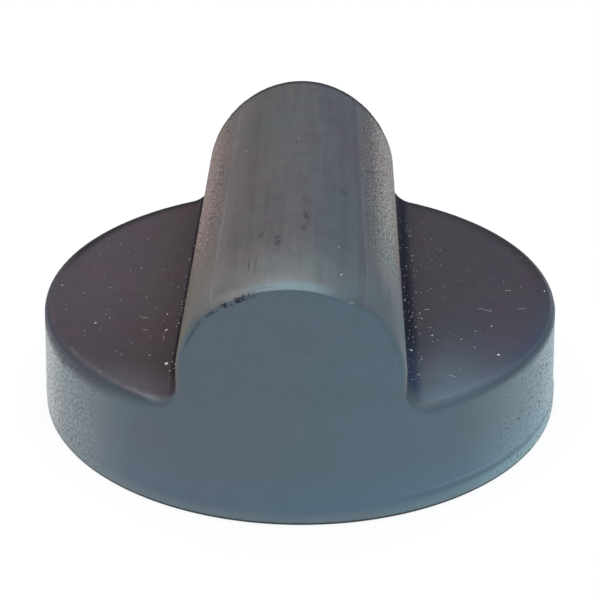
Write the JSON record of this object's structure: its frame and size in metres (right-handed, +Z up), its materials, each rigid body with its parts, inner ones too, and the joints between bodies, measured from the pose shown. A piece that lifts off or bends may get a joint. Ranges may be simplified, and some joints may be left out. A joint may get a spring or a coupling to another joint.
{
  "type": "jack rubber pad",
  "caption": "One-piece moulded rubber jack pad: a thick round disc with a round-topped ridge straight across it.",
  "frame": {"origin": "centre of the flat underside, on the axis of the disc", "axes": "+Z up out of the disc toward the crown of the ridge, +Y along the ridge, +X across it"},
  "size_m": [0.066, 0.066, 0.0307],
  "materials": {
    "rubber": "satin black moulded rubber, lightly pitted on the side wall"
  },
  "bodies": {
    "root": {"jack_pad": "rubber"}
  },
  "joints": []
}
